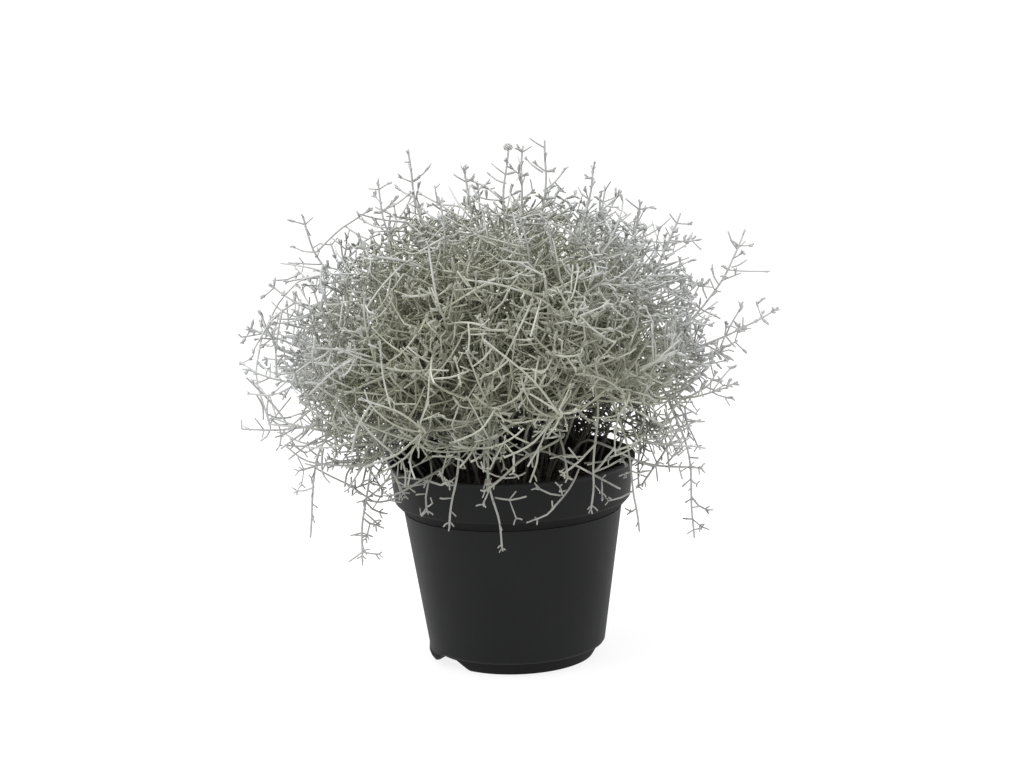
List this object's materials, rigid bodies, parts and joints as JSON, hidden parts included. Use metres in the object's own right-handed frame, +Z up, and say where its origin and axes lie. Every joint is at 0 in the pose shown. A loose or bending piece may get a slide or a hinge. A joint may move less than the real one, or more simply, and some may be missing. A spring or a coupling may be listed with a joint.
{
  "type": "potted cushion bush",
  "caption": "Wiry silver-grey cushion bush with scale-like leaves, branching into a see-through dome from a thin black round nursery pot with a collared rim.",
  "frame": {"origin": "centre of the pot's foot on the floor, on the pot's axis", "axes": "+Z up along the pot's axis; -Y towards the viewer of the picture; +X to the viewer's right"},
  "size_m": [0.2825, 0.2726, 0.2761],
  "materials": {
    "pot": "thin moulded black plastic, low sheen",
    "soil": "dark peaty potting mix",
    "stem": "silver-grey felted twigs with tiny pressed scales",
    "floret": "pale cream papery florets"
  },
  "bodies": {
    "root": {"pot": "pot", "soil": "soil", "stem_01": "stem", "stem_02": "stem", "stem_03": "stem", "stem_04": "stem", "stem_05": "stem", "stem_06": "stem", "stem_07": "stem", "stem_08": "stem", "stem_09": "stem", "stem_10": "stem", "stem_11": "stem", "stem_12": "stem", "stem_13": "stem", "stem_14": "stem", "stem_15": "stem", "stem_16": "stem", "stem_17": "stem", "stem_18": "stem", "stem_19": "stem", "stem_20": "stem", "stem_21": "stem", "stem_22": "stem", "stem_23": "stem", "stem_24": "stem", "stem_25": "stem", "stem_26": "stem", "stem_27": "stem", "stem_28": "stem", "stem_29": "stem", "stem_30": "stem", "stem_31": "stem", "stem_32": "stem", "stem_33": "stem", "stem_34": "stem", "stem_35": "stem", "stem_36": "stem", "stem_37": "stem", "stem_38": "stem", "stem_39": "stem", "stem_40": "stem", "stem_41": "stem", "stem_42": "stem", "stem_43": "stem", "stem_44": "stem", "stem_45": "stem", "stem_46": "stem", "stem_47": "stem", "stem_48": "stem", "stem_49": "stem", "stem_50": "stem", "stem_51": "stem", "stem_52": "stem", "stem_53": "stem", "stem_54": "stem", "stem_55": "stem", "flower_head_1": "floret", "flower_head_2": "floret"}
  },
  "joints": []
}
